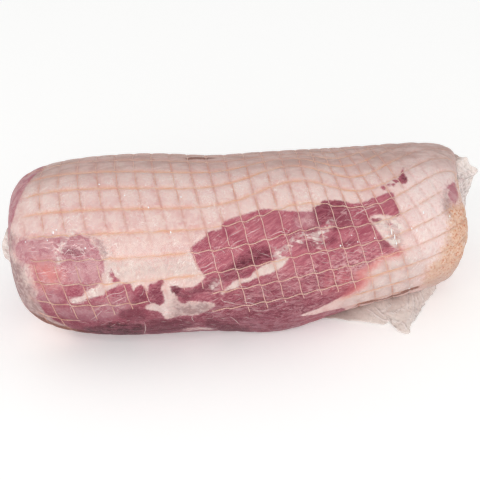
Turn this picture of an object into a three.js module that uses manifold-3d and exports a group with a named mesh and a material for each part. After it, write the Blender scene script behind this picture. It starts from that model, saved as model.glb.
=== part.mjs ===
// A boneless pork loin roast, rolled in an elastic net and sealed in a clear shrunk bag: one closed solid.
// Lengths are millimetres. X runs along the roast, -Y is its front, Z is up, and it lies on z = 0.
import * as THREE from "three";
import Module from "manifold-3d";

// The roast: a long rounded form, with a blunt right end and a rounder, thicker left one.
const HALF_LENGTH = 164.5;
const HALF_DEPTH = 70;
const HALF_HEIGHT = 59;
const SECTION_LOSS = 0.17; // share of the section lost at the right end and gained at the left
const DEPTH_FLARE = 0.065; // share by which both ends are deeper
const HEIGHT_FLARE = 0.05; // share by which both ends are taller
const ROUNDING = { left: { along: 2.25, across: 4.8 }, right: { along: 6.9, across: 9 } };
const BOW = 13; // how far both ends lie behind the middle
const AXIS_DROP = 3.4; // how much lower the axis is at the right end than in the middle
const REST_SINK = 4.6; // how much of the belly the table presses flat
const REST_BLEND = 3; // height over which the flat rest turns into the belly
// Each end face leans: mm along X for each mm up and for each mm back.
const LEAN = { left: { up: -0.11, back: 0.17 }, right: { up: -0.083, back: 0.335 } };
// Soft swellings and hollows of the side: place along X, degrees round, half spans, and height.
const SWELLS = [
  { x: -18, angle: 60, length: 30, spread: 35, height: -2.3 },
  { x: 14, angle: 240, length: 36, spread: 35, height: 9 },
  { x: 60, angle: 240, length: 40, spread: 35, height: 1.9 },
];
const END_SWELL = { back: -59, up: 13, span: 32, height: 11.4 }; // the bulge at the front of the right end

// The net: strands run along the roast and rings go round it. Angles go round from the back over the top.
const STRANDS = 23;
const RINGS = 33; // ring spacings from end to end
const FIRST_STRAND = 91.6;
// The rings lean along the roast by a reach that turns round it, and lean otherwise near the right end.
const RING_TILT = { reach: 16.4, angle: 111, fade: 60 };
const END_TILT = { reach: 27, angle: 56, shift: 2.6, start: 251, end: 345 };
const RING_SLIP = { at: 283, span: 38, reach: 3.7 }; // where rings crowd together
// Strands drift and fan out round the roast, by these degrees for each mm along it.
const STRAND_SPREAD = { from: 110, to: 290, drift: 0.0245, fan: -0.116, angle: 132 };
const END_TWIST = { start: 265, turn: -43, vary: -22, angle: 40 }; // turns the strands at the right end
const PINCH = { along: 249, angle: 105, span: 40, spread: 45, turn: -23 }; // strands drawn together on top
const PILLOW = 1; // height of a cell's swell over the cords round it

// The bag's spare film: three thin wavy flaps, each from a root inside the roast to a free edge.
const FILM_FOLD = 1.4; // thickness of a crumpled fold
const WAVES = [
  { height: 1, along: 4, across: 0.7 },
  { height: 0.6, along: 7, across: -1.1 },
]; // a flap's waves, by how many it has along its root and across it
const FRONT_FLAP = {
  root: [[46, -14, 8], [140, -2, 9]],
  edge: [[43, -36], [60, -41], [76, -48], [89, -55], [94, -52], [98, -66], [103, -70], [108, -60],
    [118, -47], [127, -34], [141, -16]],
  lift: { root: 3, edge: 1.4 }, // height of its middle over the lines above
  steps: { across: 6, along: 28 },
};
const END_FLAP = {
  root: [[150, 40, 84], [150, 40, 22]],
  edge: [[166, 84], [175, 79], [178, 79], [180, 74], [188, 67], [185, 61], [183, 55], [181, 45], [180, 33],
    [181, 16]],
  depth: 40,
  steps: { across: 4, along: 18 },
};
const LEFT_FOLD = {
  root: [[-158, -5, 78], [-158, -5, 50]],
  edge: [[-165, 88], [-172, 78], [-174, 70], [-173, 62], [-165, 52]],
  depth: -5,
  steps: { across: 2, along: 8 },
};

const CENTRE = { x: 7, y: 3 }; // middle of the whole part's box, which becomes the origin
const ROWS_PER_RING = 2;
const COLUMNS_PER_STRAND = 3;
const PROFILE_STEPS = 400;

const radians = THREE.MathUtils.degToRad;
const bell = (value) => Math.exp(-value * value);

// Degrees from one angle to another, between -180 and 180.
function turnBetween(angle, centre) {
  return THREE.MathUtils.euclideanModulo(angle - centre + 180, 360) - 180;
}

// The profile from end to end: each point's place on the axis, from -1 to 1, and its share of the section.
function profile() {
  const join = 0.9; // beyond this the end face is stepped by its radius
  const points = [];
  const reach = (end) => (1 - join ** end.along) ** (1 / end.across);
  const capPlace = (share, end) => (1 - share ** end.across) ** (1 / end.along);
  for (let i = 0; i < PROFILE_STEPS; i++) {
    const share = (reach(ROUNDING.left) * i) / PROFILE_STEPS;
    points.push({ place: -capPlace(share, ROUNDING.left), share });
  }
  for (let i = 0; i < PROFILE_STEPS; i++) {
    const place = join * ((2 * i) / PROFILE_STEPS - 1);
    const end = place < 0 ? ROUNDING.left : ROUNDING.right;
    points.push({ place, share: (1 - Math.abs(place) ** end.along) ** (1 / end.across) });
  }
  for (let i = PROFILE_STEPS; i >= 0; i--) {
    const share = (reach(ROUNDING.right) * i) / PROFILE_STEPS;
    points.push({ place: capPlace(share, ROUNDING.right), share });
  }
  const radius = (HALF_DEPTH + HALF_HEIGHT) / 2;
  let travelled = 0;
  points.forEach((point, i) => {
    const before = points[Math.max(i - 1, 0)];
    const along = (point.place - before.place) * HALF_LENGTH;
    const across = (point.share - before.share) * radius;
    travelled += Math.hypot(along, across);
    point.travelled = travelled;
  });
  return points;
}

const PROFILE = profile();
const SKIN_LENGTH = PROFILE.at(-1).travelled; // from end to end over the skin
const RING_PITCH = SKIN_LENGTH / RINGS;

// The profile's place and share at a distance over the skin.
function profileAt(distance) {
  const wanted = THREE.MathUtils.clamp(distance, 0, SKIN_LENGTH);
  const next = Math.max(PROFILE.findIndex((point) => point.travelled >= wanted), 1);
  const [a, b] = [PROFILE[next - 1], PROFILE[next]];
  const t = (wanted - a.travelled) / Math.max(b.travelled - a.travelled, 1e-9);
  return {
    place: THREE.MathUtils.lerp(a.place, b.place, t),
    share: THREE.MathUtils.lerp(a.share, b.share, t),
  };
}

// Keeps a height above the table, pressing flat what would be under it.
function pressedFlat(height) {
  if (height > REST_BLEND) return height;
  if (height < -REST_BLEND) return 0;
  return (height + REST_BLEND) ** 2 / (4 * REST_BLEND);
}

// The point of the bag at a distance over the skin and an angle round it, raised by a height.
function onRoast(distance, angle, raised) {
  const { place, share } = profileAt(distance);
  const section = 1 - SECTION_LOSS * place;
  const depth = HALF_DEPTH * (section + DEPTH_FLARE * place ** 2);
  const height = HALF_HEIGHT * (section + HEIGHT_FLARE * place ** 2);
  let swell = raised;
  for (const spot of SWELLS) {
    const along = (HALF_LENGTH * place - spot.x) / spot.length;
    swell += spot.height * bell(along) * bell(turnBetween(angle, spot.angle) / spot.spread);
  }
  const back = (depth * share + swell) * Math.cos(radians(angle));
  const up = (height * share + swell) * Math.sin(radians(angle));
  const lean = place < 0 ? LEAN.left : LEAN.right;
  const endShare = place ** 4;
  const fromBulge = Math.hypot(back - END_SWELL.back, up - END_SWELL.up);
  const bulge = place > 0 ? END_SWELL.height * bell(fromBulge / END_SWELL.span) : 0;
  return new THREE.Vector3(
    HALF_LENGTH * place + endShare * (lean.up * up + lean.back * back + bulge),
    BOW * place ** 2 + back,
    pressedFlat(HALF_HEIGHT - REST_SINK - AXIS_DROP * place + up),
  );
}

// Where the net's ring and strand numbers lie on the skin; whole numbers are the cords themselves.
function onNet(ring, strand) {
  const plain = ring * RING_PITCH;
  const start = FIRST_STRAND + (strand * 360) / STRANDS;
  const fan = STRAND_SPREAD.drift + STRAND_SPREAD.fan * Math.sin(radians(start - STRAND_SPREAD.angle));
  const fromPinch = turnBetween(start, PINCH.angle);
  const pinch = bell((plain - PINCH.along) / PINCH.span) * bell(fromPinch / PINCH.spread);
  const twist = END_TWIST.turn + END_TWIST.vary * Math.cos(radians(start - END_TWIST.angle));
  const angle =
    start +
    (Math.min(plain, STRAND_SPREAD.to) - STRAND_SPREAD.from) * fan +
    twist * THREE.MathUtils.smoothstep(plain, END_TWIST.start, SKIN_LENGTH) +
    PINCH.turn * pinch;
  const fade =
    THREE.MathUtils.smoothstep(plain, 0, RING_TILT.fade) *
    THREE.MathUtils.smoothstep(SKIN_LENGTH - plain, 0, RING_TILT.fade);
  const crowd = (plain - RING_SLIP.at) / RING_SLIP.span;
  const slip = -RING_SLIP.reach * crowd * Math.exp(0.5 - 0.5 * crowd * crowd);
  const slant = RING_TILT.reach * Math.cos(radians(angle - RING_TILT.angle));
  const endSlant = END_TILT.shift + END_TILT.reach * Math.cos(radians(angle - END_TILT.angle));
  const nearEnd = THREE.MathUtils.smoothstep(plain, END_TILT.start, END_TILT.end);
  const tilt = -THREE.MathUtils.lerp(slant, endSlant, nearEnd);
  return { distance: plain + (tilt + slip) * fade, angle, fade };
}

// The roast in its net and bag: rows follow the rings, columns the strands, and each cell swells.
function roastGeometry() {
  const rows = (RINGS - 2) * ROWS_PER_RING + 1;
  const columns = STRANDS * COLUMNS_PER_STRAND;
  const points = [onRoast(0, 0, 0)];
  for (let row = 0; row < rows; row++) {
    for (let column = 0; column < columns; column++) {
      const ring = 1 + row / ROWS_PER_RING;
      const strand = column / COLUMNS_PER_STRAND;
      const { distance, angle, fade } = onNet(ring, strand);
      const cell = Math.sqrt(Math.abs(Math.sin(Math.PI * ring) * Math.sin(Math.PI * strand)));
      points.push(onRoast(distance, angle, PILLOW * fade * (cell - 0.5)));
    }
  }
  points.push(onRoast(SKIN_LENGTH, 0, 0));
  const at = (row, column) => 1 + row * columns + (column % columns);
  const last = points.length - 1;
  const faces = [];
  for (let column = 0; column < columns; column++) {
    faces.push([0, at(0, column + 1), at(0, column)]);
    for (let row = 0; row < rows - 1; row++) {
      faces.push([at(row, column), at(row + 1, column + 1), at(row + 1, column)]);
      faces.push([at(row, column), at(row, column + 1), at(row + 1, column + 1)]);
    }
    faces.push([at(rows - 1, column), at(rows - 1, column + 1), last]);
  }
  return geometryOf(points, faces);
}

// A thin wavy flap from its root line to its free edge, with both faces split into triangles alike.
function flapGeometry(root, edge, normal, steps, lift) {
  const { across, along } = steps;
  const rootLine = new THREE.LineCurve3(...root.map((point) => new THREE.Vector3(...point)));
  const freeEdge = new THREE.CatmullRomCurve3(edge, false, "centripetal");
  const points = [];
  for (const side of [1, -1]) {
    for (let i = 0; i <= across; i++) {
      for (let j = 0; j <= along; j++) {
        const outward = i / across;
        const sideways = j / along;
        let height = THREE.MathUtils.lerp(lift.root, lift.edge, outward) + (side * FILM_FOLD) / 2;
        for (const wave of WAVES) {
          const turns = wave.along * sideways + wave.across * outward;
          height += wave.height * Math.sin(2 * Math.PI * turns) * Math.sin(Math.PI * outward);
        }
        const point = rootLine.getPoint(sideways).lerp(freeEdge.getPoint(sideways), outward);
        points.push(point.addScaledVector(normal, height));
      }
    }
  }
  const at = (side, i, j) => side * (across + 1) * (along + 1) + i * (along + 1) + j;
  const faces = [];
  const quad = (a, b, c, d) => faces.push([a, b, c], [a, c, d]);
  for (let i = 0; i < across; i++) {
    for (let j = 0; j < along; j++) {
      quad(at(0, i, j), at(0, i + 1, j), at(0, i + 1, j + 1), at(0, i, j + 1));
      faces.push([at(1, i, j), at(1, i + 1, j + 1), at(1, i + 1, j)]);
      faces.push([at(1, i, j), at(1, i, j + 1), at(1, i + 1, j + 1)]);
    }
  }
  for (let j = 0; j < along; j++) {
    quad(at(0, 0, j), at(0, 0, j + 1), at(1, 0, j + 1), at(1, 0, j));
    quad(at(0, across, j), at(1, across, j), at(1, across, j + 1), at(0, across, j + 1));
  }
  for (let i = 0; i < across; i++) {
    quad(at(0, i, 0), at(1, i, 0), at(1, i + 1, 0), at(0, i + 1, 0));
    quad(at(0, i, along), at(0, i + 1, along), at(1, i + 1, along), at(1, i, along));
  }
  return geometryOf(points, faces);
}

function geometryOf(points, faces) {
  return new THREE.BufferGeometry().setFromPoints(points).setIndex(faces.flat());
}

// The flap that lies on the table in front of the right half.
function frontFlap() {
  const edge = FRONT_FLAP.edge.map(([x, y]) => new THREE.Vector3(x, y, 0));
  const up = new THREE.Vector3(0, 0, 1);
  return flapGeometry(FRONT_FLAP.root, edge, up, FRONT_FLAP.steps, FRONT_FLAP.lift);
}

// A flap that stands upright in the plane of the roast's length.
function uprightFlap({ root, edge, depth, steps }) {
  const line = edge.map(([x, z]) => new THREE.Vector3(x, depth, z));
  const towardsRight = Math.sign(edge[0][0]);
  const normal = new THREE.Vector3(0, towardsRight, 0);
  return flapGeometry(root, line, normal, steps, { root: 0, edge: 0 });
}

const wasm = await Module();
wasm.setup();

function solidOf(geometry) {
  const vertProperties = geometry.getAttribute("position").array;
  const triVerts = new Uint32Array(geometry.index.array);
  return new wasm.Manifold(new wasm.Mesh({ numProp: 3, vertProperties, triVerts }));
}

function geometryOfSolid(solid) {
  const { vertProperties, triVerts } = solid.getMesh();
  const geometry = new THREE.BufferGeometry();
  geometry.setAttribute("position", new THREE.BufferAttribute(vertProperties, 3));
  geometry.setIndex(new THREE.BufferAttribute(triVerts, 1));
  geometry.computeVertexNormals();
  return geometry;
}

const flaps = [frontFlap(), uprightFlap(END_FLAP), uprightFlap(LEFT_FOLD)];
const whole = flaps.reduce((solid, flap) => solid.add(solidOf(flap)), solidOf(roastGeometry()));

const film = new THREE.MeshStandardMaterial({ color: 0xe2c5bd, roughness: 0.3, metalness: 0 });
const baggedRoast = new THREE.Mesh(geometryOfSolid(whole), film);
baggedRoast.name = "bagged_roast";
baggedRoast.position.set(-CENTRE.x, -CENTRE.y, 0);

const roast = new THREE.Group();
roast.add(baggedRoast);

export default roast;
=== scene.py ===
# A boneless pork loin roast, rolled in an elastic net and sealed in a clear shrunk bag.
# Lengths are millimetres in the roast's own axes, and metres() moves them to the frame. Angles are
# degrees round the roast: 0 at the back, 90 on top, 180 at the front and 270 underneath.
import math
import random

import bpy
import numpy as np
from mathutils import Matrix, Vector, noise


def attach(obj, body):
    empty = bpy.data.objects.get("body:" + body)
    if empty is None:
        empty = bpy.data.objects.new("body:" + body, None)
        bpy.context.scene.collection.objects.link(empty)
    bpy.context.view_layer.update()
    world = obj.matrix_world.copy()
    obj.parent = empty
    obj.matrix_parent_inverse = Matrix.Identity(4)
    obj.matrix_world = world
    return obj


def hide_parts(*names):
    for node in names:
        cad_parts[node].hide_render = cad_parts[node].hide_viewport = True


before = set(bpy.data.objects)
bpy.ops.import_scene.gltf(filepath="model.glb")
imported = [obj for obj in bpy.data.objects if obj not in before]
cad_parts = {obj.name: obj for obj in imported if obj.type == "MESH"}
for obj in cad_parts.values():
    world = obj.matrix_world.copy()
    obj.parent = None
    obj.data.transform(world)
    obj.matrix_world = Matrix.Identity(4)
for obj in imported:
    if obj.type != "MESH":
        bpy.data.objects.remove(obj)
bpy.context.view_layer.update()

MM = 0.001
CENTRE = np.array([7, 3, 0])  # the frame's origin in the roast's own axes

# The roast's form, as in the part's source.
HALF_LENGTH = 164.5
HALF_DEPTH = 70
HALF_HEIGHT = 59
SECTION_LOSS = 0.17
DEPTH_FLARE = 0.065
HEIGHT_FLARE = 0.05
ROUNDING = {"left": (2.25, 4.8), "right": (6.9, 9)}
BOW = 13
AXIS_DROP = 3.4
REST_SINK = 4.6
REST_BLEND = 3
LEAN = {"left": (-0.11, 0.17), "right": (-0.083, 0.335)}
# Swells of the sides: place along the roast, angle, reach along, reach round and height.
SWELLS = ((-18, 60, 30, 35, -2.3), (14, 240, 36, 35, 9), (60, 240, 40, 35, 1.9))
END_SWELL = {"back": -59, "up": 13, "span": 32, "height": 11.4}

# The net: strands run along the roast and rings go round it.
STRANDS = 23
RINGS = 33
FIRST_STRAND = 91.6
RING_TILT = {"reach": 16.4, "angle": 111, "fade": 60}
END_TILT = {"reach": 27, "angle": 56, "shift": 2.6, "start": 251, "end": 345}
RING_SLIP = {"at": 283, "span": 38, "reach": 3.7}
STRAND_SPREAD = {"from": 110, "to": 290, "drift": 0.0245, "fan": -0.116, "angle": 132}
END_TWIST = {"start": 265, "turn": -43, "vary": -22, "angle": 40}
PINCH = {"along": 249, "angle": 105, "span": 40, "spread": 45, "turn": -23}
PILLOW = 1  # the film's bulge between the cords

PROFILE_STEPS = 400
PROFILE_JOIN = 0.9  # share of the half length where the profile's end caps begin
NORMAL_STEP = 0.4
POLE_MARGIN = 1.5  # distance from the end's middle inside which the normals stay the same
DEGREE = 1.13  # millimetres round the skin for each degree


def bell(value):
    return np.exp(-value * value)


def smoothstep(value, low, high):
    t = np.clip((value - low) / (high - low), 0, 1)
    return t * t * (3 - 2 * t)


def turn_between(angle, centre):
    return (angle - centre + 180) % 360 - 180


def profile():
    """Places on the axis, shares of the section and distances over the skin, from left to right."""
    steps = np.arange(PROFILE_STEPS) / PROFILE_STEPS

    def cap(side, fractions):
        along, across = ROUNDING[side]
        share = (1 - PROFILE_JOIN**along) ** (1 / across) * fractions
        return (1 - share**across) ** (1 / along), share

    left_place, left_share = cap("left", steps)
    place = PROFILE_JOIN * (2 * steps - 1)
    along = np.where(place < 0, ROUNDING["left"][0], ROUNDING["right"][0])
    across = np.where(place < 0, ROUNDING["left"][1], ROUNDING["right"][1])
    share = (1 - np.abs(place) ** along) ** (1 / across)
    right_place, right_share = cap("right", 1 - np.arange(PROFILE_STEPS + 1) / PROFILE_STEPS)
    place = np.concatenate([-left_place, place, right_place])
    share = np.concatenate([left_share, share, right_share])
    radius = (HALF_DEPTH + HALF_HEIGHT) / 2
    lengths = np.hypot(np.diff(place) * HALF_LENGTH, np.diff(share) * radius)
    return place, share, np.concatenate([[0], np.cumsum(lengths)])


PLACES, SHARES, TRAVELLED = profile()
SKIN_LENGTH = TRAVELLED[-1]
RING_PITCH = SKIN_LENGTH / RINGS


def unpressed(distance, angle):
    """Points of the roast before the table presses its belly flat."""
    distance = np.clip(distance, 0, SKIN_LENGTH)
    place = np.interp(distance, TRAVELLED, PLACES)
    share = np.interp(distance, TRAVELLED, SHARES)
    section = 1 - SECTION_LOSS * place
    depth = HALF_DEPTH * (section + DEPTH_FLARE * place**2)
    height = HALF_HEIGHT * (section + HEIGHT_FLARE * place**2)
    swell = 0
    for x, at, length, spread, rise in SWELLS:
        along = bell((HALF_LENGTH * place - x) / length)
        swell = swell + rise * along * bell(turn_between(angle, at) / spread)
    back = (depth * share + swell) * np.cos(np.radians(angle))
    up = (height * share + swell) * np.sin(np.radians(angle))
    lean_up = np.where(place < 0, LEAN["left"][0], LEAN["right"][0])
    lean_back = np.where(place < 0, LEAN["left"][1], LEAN["right"][1])
    from_bulge = np.hypot(back - END_SWELL["back"], up - END_SWELL["up"])
    bulge = np.where(place > 0, END_SWELL["height"] * bell(from_bulge / END_SWELL["span"]), 0)
    x = HALF_LENGTH * place + place**4 * (lean_up * up + lean_back * back + bulge)
    y = BOW * place**2 + back
    z = HALF_HEIGHT - REST_SINK - AXIS_DROP * place + up
    return np.stack([x, y, z], -1)


def pressed_flat(height):
    blended = (height + REST_BLEND) ** 2 / (4 * REST_BLEND)
    return np.where(height > REST_BLEND, height, np.where(height < -REST_BLEND, 0, blended))


def outward(distance, angle):
    """The roast's unit normals."""
    distance = np.clip(distance, POLE_MARGIN, SKIN_LENGTH - POLE_MARGIN)
    along = unpressed(distance + NORMAL_STEP, angle) - unpressed(distance - NORMAL_STEP, angle)
    around = unpressed(distance, angle + NORMAL_STEP) - unpressed(distance, angle - NORMAL_STEP)
    normal = np.cross(around, along)
    return normal / np.linalg.norm(normal, axis=-1, keepdims=True)


def on_skin(distance, angle, height, floor=0.0):
    """Points at a height over the roast's skin, pressed on the table or on a layer that covers it."""
    normal = outward(distance, angle)
    points = unpressed(distance, angle) + normal * np.asarray(height)[..., None]
    points[..., 2] = pressed_flat(points[..., 2] - floor) + floor
    return points


def on_net(ring, strand):
    """Distance over the skin, angle and the net's fade to the ends, at ring and strand numbers."""
    plain = ring * RING_PITCH
    start = FIRST_STRAND + strand * 360 / STRANDS
    spread = STRAND_SPREAD
    fan = spread["drift"] + spread["fan"] * np.sin(np.radians(start - spread["angle"]))
    pinch = bell((plain - PINCH["along"]) / PINCH["span"])
    pinch = pinch * bell(turn_between(start, PINCH["angle"]) / PINCH["spread"])
    twist = END_TWIST["turn"] + END_TWIST["vary"] * np.cos(np.radians(start - END_TWIST["angle"]))
    angle = (
        start
        + (np.minimum(plain, spread["to"]) - spread["from"]) * fan
        + twist * smoothstep(plain, END_TWIST["start"], SKIN_LENGTH)
        + PINCH["turn"] * pinch
    )
    fade = smoothstep(plain, 0, RING_TILT["fade"])
    fade = fade * smoothstep(SKIN_LENGTH - plain, 0, RING_TILT["fade"])
    crowd = (plain - RING_SLIP["at"]) / RING_SLIP["span"]
    slip = -RING_SLIP["reach"] * crowd * np.exp(0.5 - 0.5 * crowd * crowd)
    slant = RING_TILT["reach"] * np.cos(np.radians(angle - RING_TILT["angle"]))
    end_slant = END_TILT["reach"] * np.cos(np.radians(angle - END_TILT["angle"])) + END_TILT["shift"]
    near_end = smoothstep(plain, END_TILT["start"], END_TILT["end"])
    tilt = -(slant + (end_slant - slant) * near_end)
    return plain + (tilt + slip) * fade, angle, fade


def metres(points):
    return (points - CENTRE) * MM


# What the meat shows, as outlines of (distance over the skin from the left end, degrees round).
LEAN_SIDE = (
    (152, 151), (157, 147), (163, 144), (165, 141), (174, 140), (176, 136), (182, 134), (195, 131),
    (205, 129), (216, 130), (228, 132), (240, 133), (241, 131), (246, 129), (251, 126), (265, 128),
    (269, 130), (280, 130), (286, 128), (292, 127), (299, 125), (304, 126), (304, 133), (306, 142),
    (299, 142), (288, 140), (281, 142), (284, 147), (286, 151), (290, 157), (294, 161), (299, 166),
    (303, 168), (301, 169), (294, 169), (287, 170), (282, 173), (276, 177), (269, 179), (269, 183),
    (272, 189), (266, 196), (258, 201), (249, 206), (238, 209), (229, 211), (236, 214), (245, 215),
    (256, 216), (264, 219), (268, 230), (275, 240), (270, 262), (262, 292), (285, 322), (296, 344),
    (250, 352), (180, 346), (110, 352), (62, 348), (66, 290), (70, 250), (76, 225), (68, 215),
    (59, 207), (55, 200), (53, 192), (51, 189), (53, 181), (53, 175), (51, 169), (52, 159),
    (46, 157), (41, 154), (40, 145), (45, 140), (61, 140), (68, 139), (74, 140), (78, 139),
    (81, 137), (85, 140), (88, 141), (89, 145), (93, 148), (93, 151), (95, 155), (95, 160),
    (93, 164), (92, 169), (89, 172), (82, 176), (80, 179), (73, 182), (73, 185), (78, 184),
    (83, 181), (88, 179), (93, 178), (95, 175), (99, 173), (104, 171), (110, 170), (112, 175),
    (114, 173), (117, 171), (119, 173), (121, 178), (122, 172), (127, 170), (132, 169), (130, 175),
    (133, 176), (138, 173), (145, 175), (153, 174), (160, 169), (158, 166), (155, 161), (153, 155),
)
DARK_ISLAND = ((282, 143), (284, 142), (289, 143), (291, 144), (288, 145), (284, 145))
LEAN_ISLANDS = (
    ((317, 106), (318, 106), (317, 111), (318, 114), (318, 118), (314, 120), (311, 117), (311, 114),
     (314, 111)),
    ((295, 121), (297, 119), (299, 121), (297, 123)),
    ((300, 119), (303, 118), (303, 120), (301, 120)),
    ((304, 119), (307, 118), (306, 121), (305, 121)),
    ((306, 116), (309, 115), (311, 117), (308, 118)),
    DARK_ISLAND,
    ((296, 146), (298, 147), (299, 150), (297, 151), (295, 148)),
    ((99, 160), (100, 162), (101, 165), (99, 166), (98, 164)),
    ((99, 169), (100, 167), (102, 166), (104, 168), (102, 169)),
    ((353, 125), (358, 123), (364, 120), (366, 123), (365, 129), (363, 135), (357, 140), (354, 137),
     (352, 134), (352, 131), (355, 128)),
)
FAT_ISLANDS = (
    ((171, 181), (177, 176), (181, 173), (191, 172), (194, 169), (199, 166), (205, 164), (215, 161),
     (219, 162), (217, 165), (212, 169), (206, 171), (195, 173), (191, 175), (185, 176), (182, 179),
     (176, 180), (172, 183)),
    ((119, 188), (124, 185), (129, 187), (132, 184), (131, 177), (131, 173), (135, 172), (137, 177),
     (140, 180), (142, 185), (146, 187), (149, 185), (153, 186), (159, 187), (164, 188), (167, 190),
     (165, 193), (161, 196), (153, 199), (144, 198), (137, 200), (133, 200), (129, 193), (121, 190)),
    ((150, 300), (170, 290), (200, 296), (230, 290), (205, 304), (170, 302)),
    ((90, 270), (110, 262), (150, 268), (130, 276), (104, 280)),
)
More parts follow.
